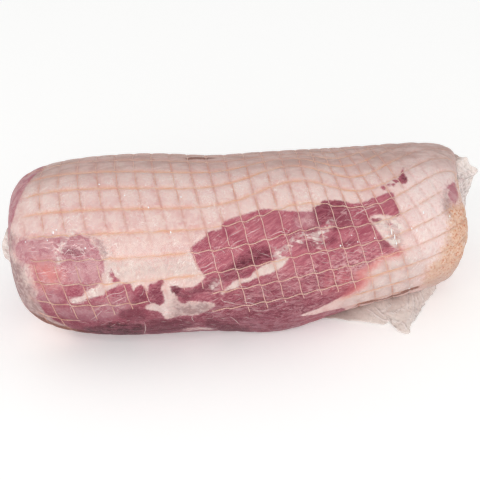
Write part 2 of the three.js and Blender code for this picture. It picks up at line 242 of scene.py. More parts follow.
# Areas of other colours in the meat, by their kind.
AREAS = {
    "dark": (
        ((171, 167), (175, 164), (181, 160), (188, 156), (193, 154), (205, 153), (207, 157), (208, 162),
         (202, 164), (188, 166), (182, 167), (174, 169)),
        ((167, 171), (172, 169), (178, 168), (191, 167), (193, 168), (190, 170), (182, 172), (172, 173)),
        ((159, 174), (161, 172), (165, 171), (170, 172), (168, 174), (163, 175)),
        ((241, 132), (245, 129), (251, 127), (265, 128), (267, 138), (267, 144), (262, 147), (253, 147),
         (253, 142), (248, 142), (244, 143), (241, 140)),
        ((232, 146), (235, 144), (238, 143), (241, 144), (241, 146), (238, 147), (235, 147)),
        ((228, 155), (230, 153), (236, 152), (238, 154), (240, 157), (236, 158), (232, 157)),
        ((245, 155), (248, 153), (253, 151), (255, 154), (251, 156), (247, 157)),
        ((287, 156), (290, 157), (293, 160), (295, 163), (292, 164), (288, 163)),
        ((259, 156), (267, 155), (269, 158), (264, 159), (259, 159)),
        ((118, 174), (120, 176), (121, 180), (118, 183), (114, 185), (112, 183), (113, 179), (116, 177)),
        ((123, 174), (127, 172), (130, 171), (132, 173), (130, 175), (133, 179), (129, 182), (124, 181)),
        ((102, 192), (108, 189), (114, 188), (118, 191), (120, 198), (116, 201), (104, 198)),
        # This one and the next lie low on the front: partly darker meat and partly painted shade.
        ((121, 202), (126, 200), (143, 202), (151, 205), (152, 214), (144, 220), (134, 224), (124, 226)),
        ((162, 203), (168, 207), (177, 213), (186, 217), (194, 224), (186, 234), (167, 222), (161, 212)),
        DARK_ISLAND,
        ((134, 175), (138, 173), (142, 174), (144, 176), (141, 179), (137, 179)),
        ((146, 177), (152, 176), (160, 173), (166, 172), (168, 177), (160, 179), (150, 181)),
        ((143, 180), (148, 179), (149, 184), (145, 185)),
        ((71, 148), (74, 146), (79, 147), (84, 148), (84, 151), (78, 152), (73, 151)),
        ((123, 184), (129, 182), (131, 184), (128, 187), (125, 186)),
    ),
    "deep": (
        ((136, 175), (141, 174), (143, 177), (141, 180), (137, 178)),
        # This one lies low on the left front: partly darker meat and partly painted shade.
        ((80, 217), (89, 208), (95, 204), (104, 203), (112, 204), (118, 206), (120, 212), (120, 222),
         (112, 240), (92, 238)),
        ((315, 113), (318, 113), (318, 117), (314, 118)),
        ((180, 164), (190, 159), (204, 157), (205, 159), (192, 163), (183, 166)),
    ),
    "pale": (
        ((352, 124), (358, 121), (366, 119), (368, 128), (365, 137), (357, 142), (352, 137)),
        ((38, 138), (74, 138), (90, 138), (94, 148), (95, 156), (94, 167), (85, 171), (73, 170),
         (68, 175), (66, 186), (51, 192), (49, 170), (41, 157)),
        ((226, 140), (234, 132), (241, 134), (242, 143), (236, 144), (228, 145)),
        ((62, 192), (80, 188), (100, 180), (110, 178), (108, 190), (98, 198), (84, 203), (70, 201)),
        ((254, 184), (258, 180), (264, 177), (272, 175), (279, 174), (276, 180), (273, 190), (264, 192),
         (256, 189)),
    ),
    "coral": (
        ((52, 158), (60, 156), (68, 157), (68, 170), (61, 174), (55, 177), (53, 170)),
        ((248, 181), (255, 178), (265, 177), (278, 175), (289, 170), (304, 167), (303, 172), (292, 174),
         (284, 179), (280, 184), (283, 190), (274, 198), (262, 202), (252, 196), (243, 190)),
    ),
    "cream": (
        ((93, 153), (93, 168), (104, 168), (112, 167), (131, 166), (138, 169), (147, 171), (155, 173),
         (157, 169), (154, 163), (149, 155), (138, 155), (124, 156), (105, 155)),
        # This one, over the left half of the fat island on the front, is painted shade.
        ((118, 188), (124, 184), (134, 176), (140, 184), (139, 200), (132, 201), (122, 192)),
        ((172, 184), (172, 172), (188, 165), (200, 159), (222, 155), (222, 172), (204, 180), (186, 184)),
        ((70, 186), (78, 180), (88, 175), (98, 170), (106, 166), (112, 169), (104, 175), (95, 179),
         (85, 184), (74, 188)),
        ((30, 160), (43, 157), (52, 159), (52, 165), (51, 170), (53, 175), (53, 183), (51, 191),
         (53, 196), (50, 208), (44, 212), (34, 216), (30, 190)),
        ((285, 172), (300, 172), (318, 170), (330, 172), (326, 186), (320, 200), (318, 214), (300, 218),
         (280, 218), (262, 214), (262, 204), (276, 192), (268, 184)),
    ),
    "grey": (
        ((36, 182), (42, 177), (48, 175), (52, 178), (53, 187), (56, 194), (62, 200), (70, 204),
         (80, 208), (90, 212), (90, 230), (72, 234), (52, 224), (38, 214)),
        ((349, 130), (352, 135), (354, 140), (357, 143), (350, 150), (346, 149), (344, 140)),
        ((294, 157), (297, 154), (301, 155), (303, 161), (302, 166), (297, 165)),
        ((91, 143), (94, 143), (97, 148), (97, 153), (95, 153), (93, 148)),
        # This one, over the right half of the fat island on the front, is painted shade.
        ((139, 182), (142, 187), (150, 187), (160, 188), (167, 191), (164, 195), (156, 199), (146, 199),
         (138, 200)),
        ((20, 146), (30, 152), (38, 158), (44, 160), (44, 170), (44, 180), (40, 198), (30, 214),
         (16, 200), (14, 170)),
        ((10, 120), (34, 128), (40, 140), (34, 150), (22, 160), (8, 200)),
    ),
    "brown": (
        ((262, 233), (271, 224), (276, 218), (284, 217), (293, 219), (301, 218), (309, 215), (317, 211),
         (326, 213), (317, 217), (301, 223), (284, 222), (276, 222), (268, 232)),
        ((42, 214), (52, 212), (60, 215), (70, 218), (80, 221), (86, 225), (74, 232), (58, 228),
         (44, 221)),
        ((163, 77), (170, 75), (180, 75), (184, 78), (172, 80), (164, 80)),
    ),
    "silver": (
        ((209, 160), (210, 156), (216, 155), (220, 151), (226, 149), (232, 147), (237, 147), (242, 145),
         (246, 145), (249, 143), (252, 140), (254, 141), (253, 145), (249, 147), (250, 150), (245, 152),
         (244, 157), (240, 158), (238, 154), (236, 151), (232, 151), (228, 153), (222, 155), (218, 157),
         (215, 161), (211, 162)),
        ((284, 146), (296, 144), (304, 147), (305, 153), (304, 160), (301, 164), (298, 164), (291, 157),
         (287, 150)),
        ((81, 136), (77, 140), (74, 143), (71, 147), (70, 150), (70, 156), (67, 156), (67, 149),
         (69, 144), (72, 141), (76, 137), (80, 134)),
        ((164, 174), (168, 172), (171, 174), (168, 177), (164, 177)),
        ((147, 218), (154, 216), (161, 217), (167, 219), (170, 223), (160, 224), (150, 224)),
        ((72, 183), (80, 180), (84, 174), (90, 171), (92, 174), (89, 178), (82, 183), (74, 186)),
    ),
    "streaky": (
        ((112, 200), (150, 198), (168, 186), (226, 168), (300, 162), (300, 174), (268, 190), (240, 216),
         (200, 300), (130, 300), (90, 240)),
        ((140, 178), (150, 175), (160, 171), (172, 176), (178, 186), (168, 189), (160, 186), (146, 185)),
    ),
}
MEMBRANE = (
    (352, 142), (348, 148), (346, 156), (342, 167), (338, 174), (337, 181), (330, 185), (328, 193),
    (326, 203), (326, 214), (340, 226), (352, 244), (380, 244), (400, 226), (402, 176), (402, 150),
    (396, 130), (386, 112), (374, 106), (368, 112), (369, 122), (368, 132), (362, 140),
)
# Thin white lines on the skin, of sinew and of creased film as painted highlights, in the same numbers.
WHITE_LINES = (
    ((79, 137), (76, 140), (74, 143), (71, 145), (68, 148), (68, 151), (69, 155)),
    ((71, 146), (74, 145), (78, 145), (82, 147), (84, 149), (84, 151), (81, 152), (78, 152),
     (76, 149)),
    ((72, 151), (75, 148), (78, 149)),
    ((84, 200), (89, 194), (92, 189)),
    ((94, 180), (98, 177), (104, 176), (108, 173)),
    ((98, 184), (103, 181), (107, 179)),
    ((112, 175), (113, 172), (112, 170)),
    ((119, 202), (120, 210), (120, 224)),
    ((121, 179), (122, 183), (124, 185)),
    ((142, 199), (146, 196), (150, 196)),
    ((153, 195), (151, 200), (153, 206)),
    ((156, 163), (161, 162), (165, 160), (167, 159)),
    ((157, 167), (162, 164), (167, 163)),
    ((171, 187), (178, 190), (186, 193)),
    ((178, 152), (183, 149), (190, 147)),
    ((178, 203), (182, 208), (186, 214)),
    ((179, 145), (184, 143), (189, 141)),
    ((186, 190), (192, 192), (197, 195)),
    ((190, 145), (196, 143), (202, 141)),
    ((207, 147), (213, 145), (218, 144)),
    ((265, 165), (268, 163), (272, 162)),
    ((268, 140), (278, 136), (288, 134)),
    ((294, 151), (294, 155), (295, 158)),
    ((295, 153), (297, 157), (299, 162)),
)
# Glints on the film: (distance, degrees, length, width).
GLINTS = (
    (67, 136, 2.6, 0.9), (69, 134.5, 1.2, 0.7), (85, 147, 1.4, 0.8), (99, 105, 1.6, 0.9),
    (114, 115, 1.2, 0.7), (128, 124, 1.6, 0.8), (140, 140, 1.8, 0.9), (151, 118, 1.3, 0.8),
    (257, 158, 1.5, 1.0), (296.5, 153, 6.0, 0.7), (298.5, 157, 4.5, 0.8), (299.5, 162, 2.4, 0.8),
    (313, 153, 1.8, 0.9), (317, 155, 2.2, 0.7), (315, 209, 2.2, 1.5), (348, 149, 2.0, 0.9),
    (348, 154, 1.6, 0.6), (362, 177, 5.0, 0.7), (283, 156, 1.3, 0.8), (325, 143, 2.5, 1.0),
    (270, 157, 1.2, 0.6), (266, 152, 1.0, 0.6), (63, 141, 1.2, 0.6), (49, 141, 1.6, 0.5),
)
CREASE_SEED = 11
CREASE_SCATTER = 0.5  # the places' deviation, as a share of the group's spread
CREASE_SLANT = 22  # the slants' deviation in degrees
CREASE_BEND = 0.2  # the bends' deviation in radians
CREASE_LENGTHS = (0.4, 1.5)  # shortest and longest, as shares of the group's length
END_MARGIN = 3  # distance from the end's middle that the lines keep
# Creased film in groups: the middle's distance and degrees, the spread of both, the count of lines,
# their mean slant from the roast's length and their usual length.
CREASE_GROUPS = (
    (60, 142, 14, 10, 20, 10, 6),
    (82, 146, 16, 12, 34, 25, 5),
    (66, 166, 18, 18, 26, -10, 6),
    (92, 188, 34, 16, 40, -35, 5),
    (180, 196, 60, 18, 70, 12, 5),
    (262, 165, 34, 16, 50, 15, 5),
    (200, 148, 60, 14, 36, 20, 6),
    (280, 135, 20, 8, 14, 10, 5),
)
# How far over the skin the cut lean face of each end reaches from the end's middle: (angle, reach).
LEFT_FACE = (
    (0, 60), (40, 65), (74, 63), (86, 54), (95, 49), (104, 45), (116, 41), (126, 35), (140, 30),
    (170, 26), (210, 28), (250, 36), (300, 50), (360, 60),
)
RIGHT_FACE = (
    (0, 30), (60, 33), (110, 26), (160, 12), (220, 14), (270, 26), (320, 32), (360, 30),
)

SHADE_HEIGHT = 66
# Along the top the fat is darker: partly its own striations and partly painted shade away from the
# lamps.
TOP = {"angle": 78, "half": 36, "widening": 9}  # the darkened stretch along the top, in degrees
BLUNT = {"start": 305, "angle": 135}  # where the fat turns pale towards the blunt end
FOOT_SPAN = (85, 264, 14)  # from, to and soft edge of the fat over the cords at the foot


def smooth_outline(points):
    """Corners of a closed Catmull-Rom curve through the points, in millimetres along and round."""
    points = np.array(points, float) * (1, DEGREE)
    before, after = np.roll(points, 1, 0), np.roll(points, -1, 0)
    beyond = np.roll(points, -2, 0)
    parts = []
    for t in (0, 0.25, 0.5, 0.75):
        part = 2 * points + (after - before) * t
        part = part + (2 * before - 5 * points + 4 * after - beyond) * t**2
        part = part + (3 * points - before - 3 * after + beyond) * t**3
        parts.append(0.5 * part)
    return np.stack(parts, 1).reshape(-1, 2)


def depth_inside(distance, angle, outline, reach=12):
    """Millimetres from each place to the outline: positive inside it, and at least -reach outside."""
    corners = smooth_outline(outline)
    places = np.stack([distance.ravel(), (angle.ravel() % 360) * DEGREE], -1)
    close = np.all((places > corners.min(0) - reach) & (places < corners.max(0) + reach), -1)
    near = places[close]
    nearest = np.full(len(near), np.inf)
    crossings = np.zeros(len(near), int)
    for a, b in zip(corners, np.roll(corners, -1, 0)):
        edge = b - a
        t = np.clip((near - a) @ edge / (edge @ edge + 1e-9), 0, 1)
        nearest = np.minimum(nearest, np.hypot(*(near - a - t[:, None] * edge).T))
        spans = (a[1] > near[:, 1]) != (b[1] > near[:, 1])
        at = a[0] + (near[:, 1] - a[1]) * edge[0] / (edge[1] if edge[1] else 1e-9)
        crossings += spans & (near[:, 0] < at)
    depth = np.full(len(places), -float(reach))
    depth[close] = np.where(crossings % 2, nearest, -np.minimum(nearest, reach))
    return depth.reshape(distance.shape)


def face_depth(distance_from_end, angle, face):
    angles, reaches = zip(*face)
    return np.interp(angle % 360, angles, reaches) - distance_from_end


def deepest(distance, angle, outlines):
    """Millimetres inside whichever outline holds the place, negative outside them all."""
    return np.max([depth_inside(distance, angle, outline) for outline in outlines], 0)


def lean_depth(distance, angle):
    depth = depth_inside(distance, angle, LEAN_SIDE)
    depth = np.minimum(depth, -deepest(distance, angle, FAT_ISLANDS))
    depth = np.maximum(depth, deepest(distance, angle, LEAN_ISLANDS))
    depth = np.maximum(depth, face_depth(distance, angle, LEFT_FACE))
    return np.maximum(depth, face_depth(SKIN_LENGTH - distance, angle, RIGHT_FACE))


def net_shows(distance, angle):
    """The share of the cords' colour. It fades under creased film at the ends and along the top."""
    along = smoothstep(distance, 36, 54) * (1 - 0.5 * smoothstep(distance, 290, 325))
    return along * (1 - 0.6 * bell(turn_between(angle, 76) / 16))


def rings_sunk(distance, angle):
    """The share by which the rings sink in the soft fat: most in the middle of the left front."""
    front = bell((distance - 128) / 44) * bell(turn_between(angle, 158) / 24)
    return np.clip(0.95 * front + 0.3 * smoothstep(distance, 300, 330), 0, 1)


def rings_sunk_in_fat(distance, angle, lean):
    """The same where the meat is fat: rings on the lean don't sink."""
    return rings_sunk(distance, angle) * (1 - smoothstep(lean, -2, 1))


def lowness(distance, angle):
    """Millimetres under the height below which painted shade darkens the roast's side, towards the
    table.
    """
    return SHADE_HEIGHT - unpressed(distance, angle)[..., 2]


def tissue(distance, angle):
    """What the meat's material goes by, mostly the millimetres that a place lies inside its areas."""
    shown = {kind: deepest(distance, angle, outlines) for kind, outlines in AREAS.items()}
    # The left end's cut face is paler: partly the lean's own colour and partly a painted sheen of the
    # film.
    shown["pale"] = np.maximum(shown["pale"], face_depth(distance, angle, LEFT_FACE))
    from_top = np.abs(turn_between(angle, TOP["angle"]))
    from_blunt = np.abs(turn_between(angle, BLUNT["angle"]))
    return {
        **shown,
        "lean": lean_depth(distance, angle),
        "membrane": depth_inside(distance, angle, MEMBRANE),
        "top": TOP["half"] - from_top + TOP["widening"] * smoothstep(distance, 150, 300),
        "low": lowness(distance, angle),
        "blunt": distance - BLUNT["start"] - from_blunt / 3,
        "along": distance,
        "cords": net_shows(distance, angle),
    }


def grid(rows_per_ring, columns_per_strand):
    """Ring and strand numbers of a closed grid over the whole roast, without the two poles."""
    rows = np.linspace(0, RINGS, RINGS * rows_per_ring + 1)[1:-1]
    columns = np.arange(STRANDS * columns_per_strand) / columns_per_strand
    return np.meshgrid(rows, columns, indexing="ij")


def closed_faces(rows, columns):
    """Quads of a grid that closes round its columns, and fans to its poles, its last two points."""
    index = np.arange(rows * columns).reshape(rows, columns)
    beside = np.roll(index, -1, 1)
    quads = np.stack([index[:-1], beside[:-1], beside[1:], index[1:]], -1).reshape(-1, 4)
    left, right = rows * columns, rows * columns + 1
    fans = [(left, b, a) for a, b in zip(index[0], beside[0])]
    fans += [(right, a, b) for a, b in zip(index[-1], beside[-1])]
    return [tuple(q) for q in quads.tolist()] + [tuple(map(int, f)) for f in fans]


def add_mesh(name, points, faces, material, attributes=None):
    """A smooth shaded mesh that rides with the roast."""
    mesh = bpy.data.meshes.new(name)
    mesh.from_pydata(metres(points).tolist(), [], faces)
    for key, values in (attributes or {}).items():
        attribute = mesh.attributes.new(key, "FLOAT", "POINT")
        attribute.data.foreach_set("value", np.asarray(values, np.float32))
    mesh.polygons.foreach_set("use_smooth", np.ones(len(mesh.polygons), bool))
    mesh.materials.append(material)
    mesh.validate()
    mesh.update()
    piece = bpy.data.objects.new(name, mesh)
    bpy.context.scene.collection.objects.link(piece)
    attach(piece, "root")
    return piece


def cell_swell(ring, strand, sunk):
    """0 on the cords and 1 in the middle of a cell. Rings that have sunk in don't count."""
    between_rings = np.abs(np.sin(np.pi * ring)) * (1 - sunk) + sunk
    return np.sqrt(between_rings * np.abs(np.sin(np.pi * strand)))


def swell_height(distance, fade):
    """How much the film bulges between the cords: more on the fat of the right end."""
    return PILLOW * fade * (0.45 + 0.75 * smoothstep(distance, 290, 330))


STRAND_PITCH = np.pi * (HALF_DEPTH + HALF_HEIGHT) / STRANDS
PLY_RADIUS = 0.27
PLY_OFFSET = 0.23
PLY_PITCH = 3.6  # length of one twist of a strand's two plies
STRAND_RADIUS = PLY_RADIUS + PLY_OFFSET
RING_RADIUS = 0.28
CORD_SIDES = 6
CORD_STEPS = 8  # points of a cord in each cell of the net
CORD_GAP = 0.1  # from the film down to a cord
STRAND_SINK = 0.25  # how deep the cords lie in the soft fat
RING_SINK = 0.2
COVERED_DEPTH = 1.6  # how deep a cord runs where folded film or fat covers it
FILM_GAP = 0.3  # from the film down to the meat
# Half width and depth of the grooves that the cords press in the meat.
RING_GROOVE = (1.05, 0.35)
STRAND_GROOVE = (1.4, 0.6)
RING_DIP = (2, 0.7)  # half width and depth of a ring's dip under a strand
# Unevenness of the meat and the film: height, size of the lumps and seed.
MEAT_LUMPS = (0.2, 14, 1)
FILM_LUMPS = (0.12, 7, 2)
# The cords' waves to the side and the strands' distance from the poles, in cells of the net.
STRAND_WAVE = 0.045
RING_WAVE = 0.02
STRAND_END = 0.6
# Heights over the table at which each layer is pressed flat.
FLAT = {"film": 0.0, "marks": 0.3, "meat": 0.4, "rings": 0.6, "strands": 0.8}
# Rows for each ring and columns for each strand of the closed grids.
MEAT_GRID = (9, 14)
FILM_GRID = (6, 10)
POLES = np.array([0, SKIN_LENGTH])
POLE_HEIGHTS = {"meat": -0.5, "film": 0.2}
# Heights of the white lines and of a glint's rim and middle over the skin.
MARK_HEIGHT = 0.3
GLINT_HEIGHTS = (0.22, 0.42)
LINE_STEPS = 12
LINE_TIP = 0.06  # share of a line's taper that is cut off at each end
GLINT_SIDES = 8


def film_height(ring, strand):
    distance, angle, fade = on_net(ring, strand)
    swell = cell_swell(ring, strand, rings_sunk(distance, angle))
    return swell_height(distance, fade) * (0.8 * swell - 0.4)


def from_cord(number):
    return np.abs((number + 0.5) % 1 - 0.5)


def lumps(points, size, seed):
    """Smooth noise from -1 to 1 for each point."""
    offset = Vector((seed * 17.3, seed * 5.1, seed * 9.7))
    flat = points.reshape(-1, 3) / size
    values = [noise.noise(Vector(p) + offset) for p in flat]
    return np.array(values).reshape(points.shape[:-1])


def with_poles(points, height):
    """A grid's points and the roast's two poles, at a height over the skin."""
    poles = on_skin(POLES, np.zeros(2), np.full(2, height))
    return np.concatenate([points.reshape(-1, 3), poles])


def make_meat(material):
    ring, strand = grid(*MEAT_GRID)
    distance, angle, _ = on_net(ring, strand)
    near_ring = bell(from_cord(ring) * RING_PITCH / RING_GROOVE[0])
    near_ring = near_ring * (1 - rings_lost(distance, angle))
    near_strand = bell(from_cord(strand) * STRAND_PITCH / STRAND_GROOVE[0])
    near_strand = near_strand * (1 - strands_lost(distance, angle))
    shown = tissue(distance, angle)
    sunk = rings_sunk_in_fat(distance, angle, shown["lean"])
    shown["ring"] = near_ring * (1 - sunk)
    shown["strand"] = near_strand
    shown["cell"] = cell_swell(ring, strand, 0) * (1 - sunk)
    groove = np.maximum(RING_GROOVE[1] * shown["ring"], STRAND_GROOVE[1] * near_strand)
    height = film_height(ring, strand) - FILM_GAP - groove
    rise, size, seed = MEAT_LUMPS
    height = height + rise * lumps(unpressed(distance, angle), size, seed)
    points = with_poles(on_skin(distance, angle, height, FLAT["meat"]), POLE_HEIGHTS["meat"])
    ends = tissue(POLES, np.zeros(2))
    ends.update({key: np.zeros(2) for key in ("ring", "strand", "cell")})
    attributes = {key: np.concatenate([values.ravel(), ends[key]]) for key, values in shown.items()}
    piece = add_mesh("roast_meat", points, closed_faces(*ring.shape), material, attributes)
    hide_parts("bagged_roast")


def make_film(material):
    ring, strand = grid(*FILM_GRID)
    distance, angle, _ = on_net(ring, strand)
    rise, size, seed = FILM_LUMPS
    height = film_height(ring, strand) + rise * lumps(unpressed(distance, angle), size, seed)
    points = with_poles(on_skin(distance, angle, height, FLAT["film"]), POLE_HEIGHTS["film"])
    piece = add_mesh("bag_film", points, closed_faces(*ring.shape), material)
    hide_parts("bagged_roast")


def tubes(paths, normals, radius, closed):
    """Points and faces of tubes along paths of equal length. The normals set their frames."""
    count, steps, _ = paths.shape
    if closed:
        along = np.roll(paths, -1, 1) - np.roll(paths, 1, 1)
    else:
        along = np.gradient(paths, axis=1)
    along /= np.linalg.norm(along, axis=-1, keepdims=True)
    across = np.cross(along, normals)
    across /= np.linalg.norm(across, axis=-1, keepdims=True)
    up = np.cross(across, along)
    turn = 2 * np.pi * np.arange(CORD_SIDES) / CORD_SIDES
    circle = across[:, :, None] * np.cos(turn)[:, None] + up[:, :, None] * np.sin(turn)[:, None]
    points = paths[:, :, None] + radius * circle
    every = np.arange(count * steps * CORD_SIDES).reshape(count, steps, CORD_SIDES)
    index, beside = every, np.roll(every, -1, 2)
    if closed:
        ahead, beside_ahead = np.roll(index, -1, 1), np.roll(beside, -1, 1)
    else:
        ahead, beside_ahead = index[:, 1:], beside[:, 1:]
        index, beside = index[:, :-1], beside[:, :-1]
    quads = np.stack([index, beside, beside_ahead, ahead], -1).reshape(-1, 4)
    faces = quads.tolist()
    if not closed:
        faces += every[:, 0, ::-1].tolist() + every[:, -1].tolist()
    return points.reshape(-1, 3), faces


def within(value, low, high, edge):
    """1 from low to high, and 0 beyond a soft edge outside them."""
    return smoothstep(value, low - edge, low) * (1 - smoothstep(value, high, high + edge))


def sunk_in_fat(distance, angle, lean, depth):
    """How deep a cord lies in the soft fat, unevenly. On lean it isn't sunk."""
    uneven = 1 + 0.8 * lumps(unpressed(distance, angle), 22, 5)
    return depth * uneven * (1 - smoothstep(lean, -2, 2))


def strands_lost(distance, angle):
    """The share by which folded film and soft fat cover the strands."""
    angle = angle % 360
    left_end = 1 - smoothstep(distance, 44, 53)
    foot = within(angle, 207, 240, 5) * within(distance, *FOOT_SPAN)
    island = within(angle, 179, 208, 3) * within(distance, 133 - 2 * (angle - 181), 160, 7)
    right_end = within(angle, 116, 141, 4) * within(distance, 350, 370, 4)
    return np.max([left_end, foot, island, right_end], 0)


def rings_lost(distance, angle):
    """The same for the rings, which they cover in a few places more."""
    angle = angle % 360
    foot_from = 204 - 6 * smoothstep(distance, 190, 225)
    foot = within(angle, foot_from, 240, 4) * within(distance, *FOOT_SPAN)
    island = within(angle, 184, 208, 4) * within(distance, 122, 175, 8)
    creased = within(angle, 138, 155, 4) * (1 - smoothstep(distance, 90, 98))
    return np.max([strands_lost(distance, angle), foot, island, creased], 0)


def cord_attributes(distance, angle, lean, plies):
    """What the cords' materials go by, for every point of their tubes."""
    shown = {"lean": lean, "cords": net_shows(distance, angle), "low": lowness(distance, angle)}
    shown["along"] = distance
    return {key: np.tile(np.repeat(values.ravel(), CORD_SIDES), plies) for key, values in shown.items()}


def make_strands(material):
    """The cords along the roast, each of two plies that wind round each other."""
    ring = np.arange(STRAND_END * CORD_STEPS, (RINGS - STRAND_END) * CORD_STEPS) / CORD_STEPS
    ring, strand = np.meshgrid(ring, np.arange(STRANDS), indexing="xy")
    side_step = STRAND_WAVE * np.sin(2 * np.pi * ring + 0.6 * np.sin(2 * np.pi * ring))
    distance, angle, _ = on_net(ring, strand + side_step)
    lean = lean_depth(distance, angle)
    height = film_height(ring, strand) - STRAND_RADIUS - CORD_GAP
    height = height - sunk_in_fat(distance, angle, lean, STRAND_SINK)
    height = height - COVERED_DEPTH * strands_lost(distance, angle)
    paths = on_skin(distance, angle, height, FLAT["strands"])
    normals = outward(distance, angle)
    across = np.cross(np.gradient(paths, axis=1), normals)
    across /= np.linalg.norm(across, axis=-1, keepdims=True)
    twist = 2 * np.pi * distance[..., None] / PLY_PITCH
    offset = PLY_OFFSET * (across * np.cos(twist) + normals * np.sin(twist))
    plies = np.concatenate([paths + offset, paths - offset])
    points, faces = tubes(plies, np.concatenate([normals, normals]), PLY_RADIUS, False)
    shown = cord_attributes(distance, angle, lean, 2)
    piece = add_mesh("net_strands", points, faces, material, shown)
    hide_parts("bagged_roast")


def make_rings(material):
    """The cords round the roast. They pass under the strands."""
    strand = np.arange(STRANDS * CORD_STEPS) / CORD_STEPS
    strand, ring = np.meshgrid(strand, np.arange(1, RINGS), indexing="xy")
    distance, angle, _ = on_net(ring + RING_WAVE * np.sin(2 * np.pi * strand), strand)
    lean = lean_depth(distance, angle)
    under = RING_DIP[1] * bell(from_cord(strand) * STRAND_PITCH / RING_DIP[0])
    sunk = rings_sunk_in_fat(distance, angle, lean)
    height = film_height(ring, strand) - RING_RADIUS - CORD_GAP - under
    height = height - sunk_in_fat(distance, angle, lean, RING_SINK)
    height = height - sunk - COVERED_DEPTH * rings_lost(distance, angle)
    paths = on_skin(distance, angle, height, FLAT["rings"])
    points, faces = tubes(paths, outward(distance, angle), RING_RADIUS, True)
    shown = cord_attributes(distance, angle, lean, 1)
    piece = add_mesh("net_rings", points, faces, material, shown)
    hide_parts("bagged_roast")


def add_lines(name, lines, width, material):
    """Thin flat lines over the skin that narrow to both ends, each a list of (distance, degrees)."""
    steps = LINE_STEPS
    shares = np.linspace(0, 1, steps)
    taper = np.sin(np.pi * (LINE_TIP + (1 - 2 * LINE_TIP) * shares))[:, None]
    points, faces = [], []
    for number, line in enumerate(lines):
        distance, angle = along_curve(line, shares).T
        path = on_skin(distance, angle, np.full(steps, MARK_HEIGHT), FLAT["marks"])
        across = np.cross(np.gradient(path, axis=0), outward(distance, angle))
        across *= width / 2 * taper / np.linalg.norm(across, axis=-1, keepdims=True)
        points += [path + across, path - across]
        near = 2 * steps * number + np.arange(steps - 1)
        faces += np.stack([near, near + 1, near + 1 + steps, near + steps], -1).tolist()
    piece = add_mesh(name, np.concatenate(points), faces, material)
    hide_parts("bagged_roast")


def crease_lines():
    """Short bent lines in the groups where the film is creased."""
    draw = random.Random(CREASE_SEED)
    lines = []
    for x, at, reach, spread, count, mean_slant, length in CREASE_GROUPS:
        for _ in range(count):
            distance = x + draw.gauss(0, CREASE_SCATTER) * reach
            angle = at + draw.gauss(0, CREASE_SCATTER) * spread
            slant = math.radians(mean_slant + draw.gauss(0, CREASE_SLANT))
            bend = draw.gauss(0, CREASE_BEND)
            step = length * draw.uniform(*CREASE_LENGTHS) / 2
            line = []
            for _ in range(3):
                line.append((np.clip(distance, END_MARGIN, SKIN_LENGTH - END_MARGIN), angle))
                distance += step * math.cos(slant)
                angle += step * math.sin(slant) / DEGREE
                slant += bend
            lines.append(line)
    return lines


def make_glints(material):
    """Small bright flecks on the film, painted glints, long along the roast's rings."""
    points, faces = [], []
    rim, middle = GLINT_HEIGHTS
    for distance, angle, length, width in GLINTS:
        first = len(points)
        for turn in np.radians(np.arange(GLINT_SIDES) * 360 / GLINT_SIDES):
            across = distance + width / 2 * math.cos(turn) * (1.2 + 0.3 * math.sin(3 * turn))
            around = angle + length / 2 * math.sin(turn) / DEGREE
            points.append(on_skin(np.array(across), np.array(around), np.array(rim), FLAT["marks"]))
        points.append(on_skin(np.array(distance), np.array(angle), np.array(middle), FLAT["marks"]))
        last = len(points) - 1
        faces += [(last, first + (k + 1) % GLINT_SIDES, first + k) for k in range(GLINT_SIDES)]
    piece = add_mesh("film_glints", np.array(points, float), faces, material)
    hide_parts("bagged_roast")


# The bag's spare film, as in the part's source: the line where a flap leaves the roast and its free
# edge, from above for the front flap and from the front for the upright ones, with their depth. The
# steps go from root to edge and along the edge. Fold is the crumples' height, and lift is the film's
# height over its plane at the root and at the edge.
FRONT_FLAP = {
    "root": ((46, -14, 8), (140, -2, 9)),
    "edge": ((43, -36), (60, -41), (76, -48), (89, -55), (94, -52), (98, -66), (103, -70), (108, -60),
             (118, -47), (127, -34), (141, -16)),
    "steps": (40, 130),
    "fold": 1.7,
    "lift": (3, 1.6),
    "seed": 4,
}
END_FLAP = {
    "root": ((150, 40, 84), (150, 40, 22)),
    "edge": ((166, 84), (175, 79), (178, 79), (180, 74), (188, 67), (185, 61), (183, 55), (181, 45),
             (180, 33), (181, 16)),
    "depth": 40,
    "steps": (30, 90),
    "fold": 3.0,
    "lift": (0, 0),
    "seed": 8,
}
# Creases of the spare film at the front, seen from above, and at the end, seen from the front.
FRONT_CREASES = (
    ((83, -38), (85, -41), (87, -45), (91, -49), (95, -51), (95, -54), (97, -61), (99, -66)),
    ((89, -37), (91, -41), (93, -45)),
    ((89, -38), (94, -41), (98, -38), (102, -35)),
    ((95, -45), (99, -47), (105, -43), (109, -43)),
    ((116, -28), (114, -35), (112, -42), (114, -45)),
    ((126, -23), (127, -31), (123, -39), (116, -49), (111, -56)),
    ((120, -28), (118, -37), (114, -47), (109, -54), (104, -60)),
    ((95, -53), (99, -55), (103, -58), (104, -65)),
    ((122, -29), (122, -36), (118, -43), (114, -51)),
)
END_CREASES = (
    ((171, 73), (176, 63), (178, 51), (180, 41), (182, 33)),
    ((173, 76), (178, 71), (185, 65)),
    ((174, 61), (181, 62), (186, 64)),
    ((178, 46), (181, 51), (184, 56)),
    ((172, 65), (175, 55), (178, 44)),
    ((176, 77), (179, 68), (182, 59), (181, 49)),
    ((174, 71), (178, 62), (179, 52), (180, 44)),
)
LEFT_FOLD = {
    "root": ((-158, -5, 78), (-158, -5, 50)),
    "edge": ((-165, 88), (-172, 78), (-174, 70), (-173, 62), (-165, 52)),
    "depth": -5,
    "steps": (30, 90),
    "fold": 3.0,
    "lift": (0, 0),
    "seed": 12,
}
FILM_THICKNESS = 0.5
FLAP_FLOOR = (0.6, 0.1)  # least heights of a flap's two faces over the table
